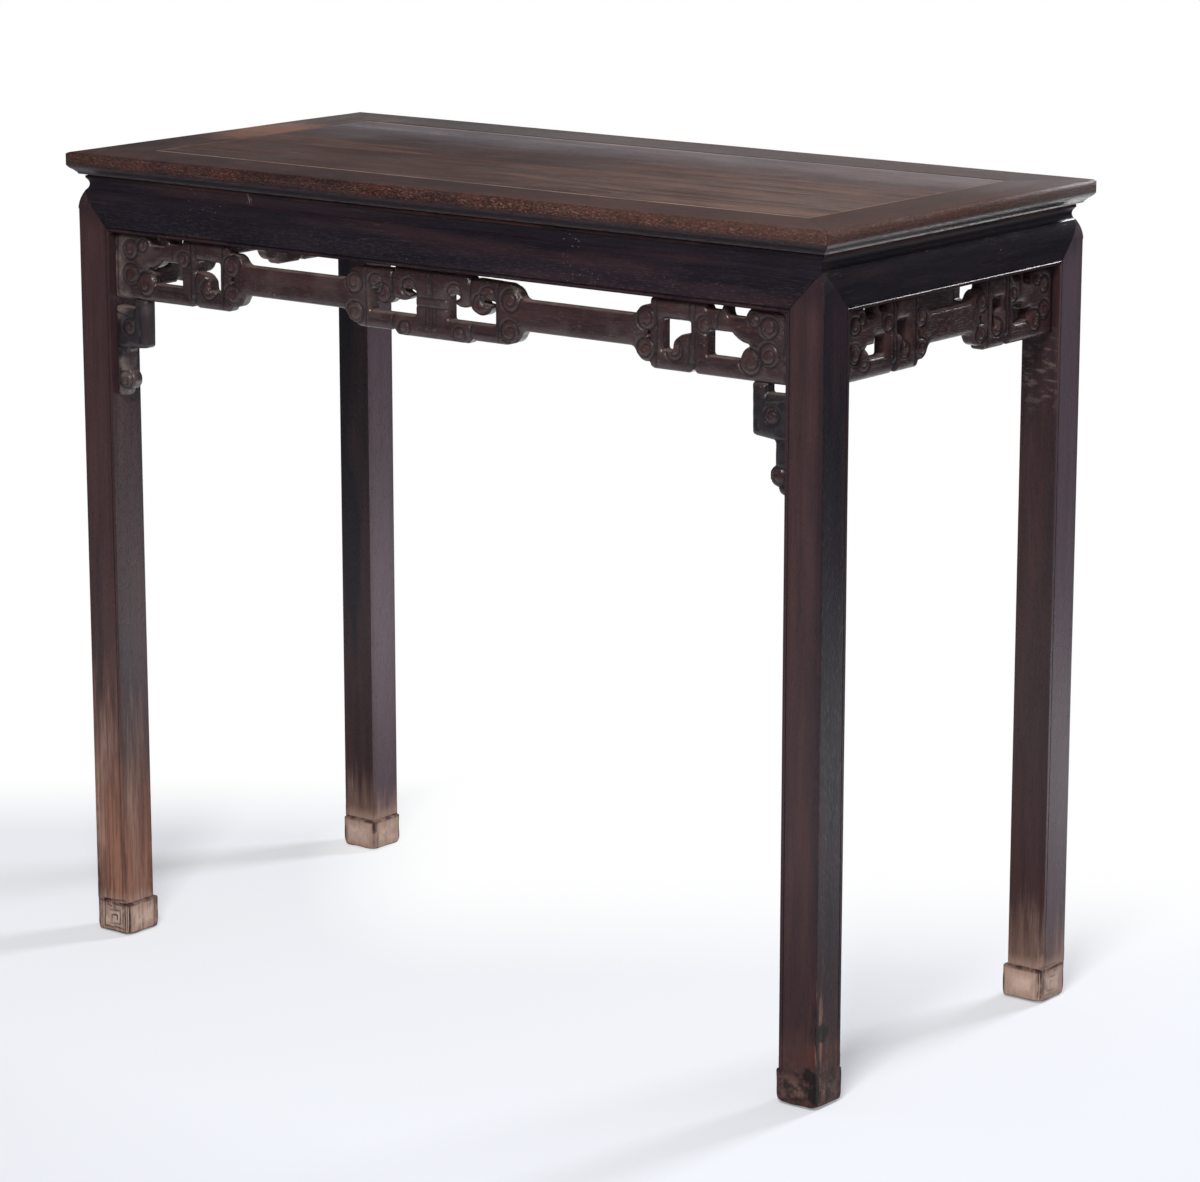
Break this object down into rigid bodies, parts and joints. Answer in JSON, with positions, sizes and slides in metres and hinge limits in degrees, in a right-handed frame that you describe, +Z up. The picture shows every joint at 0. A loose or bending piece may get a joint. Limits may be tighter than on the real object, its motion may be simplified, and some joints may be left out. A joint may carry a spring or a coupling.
{
  "type": "waisted altar table with openwork scroll friezes",
  "caption": "Dark hardwood altar table in the Chinese style, with a framed panel top, a waist, square legs on low hoof feet and openwork scroll friezes.",
  "frame": {"origin": "floor level under the middle of the table, the centre of the bounding box's bottom face", "axes": "+X along the table's length, -Y towards its front, which carries the spandrels, +Z up"},
  "size_m": [0.96, 0.468, 0.84],
  "materials": {
    "frame_wood": "worn satin, dark brown hardwood",
    "panel_wood": "worn matt, grey brown hardwood",
    "apron_wood": "satin, near black hardwood",
    "leg_wood": "satin, dark hardwood, bleached towards the feet",
    "carved_wood": "satin, carved hardwood with dusty recesses",
    "inner_wood": "unfinished, plain sawn hardwood",
    "pin_wood": "unfinished, split bamboo"
  },
  "bodies": {
    "root": {"top_rail_front": "frame_wood", "top_rail_back": "frame_wood", "top_rail_left": "frame_wood", "top_rail_right": "frame_wood", "top_panel": "panel_wood", "panel_batten_left": "inner_wood", "panel_batten_middle": "inner_wood", "panel_batten_right": "inner_wood", "apron_front": "apron_wood", "apron_back": "apron_wood", "apron_left": "apron_wood", "apron_right": "apron_wood", "leg_front_left": "leg_wood", "leg_front_right": "leg_wood", "leg_back_left": "leg_wood", "leg_back_right": "leg_wood", "frieze_front": "carved_wood", "frieze_back": "carved_wood", "frieze_left": "carved_wood", "frieze_right": "carved_wood", "spandrel_left": "carved_wood", "spandrel_right": "carved_wood", "frieze_pins_front": "pin_wood", "frieze_pins_back": "pin_wood", "frieze_pins_left": "pin_wood", "frieze_pins_right": "pin_wood", "spandrel_pins": "pin_wood"}
  },
  "joints": []
}
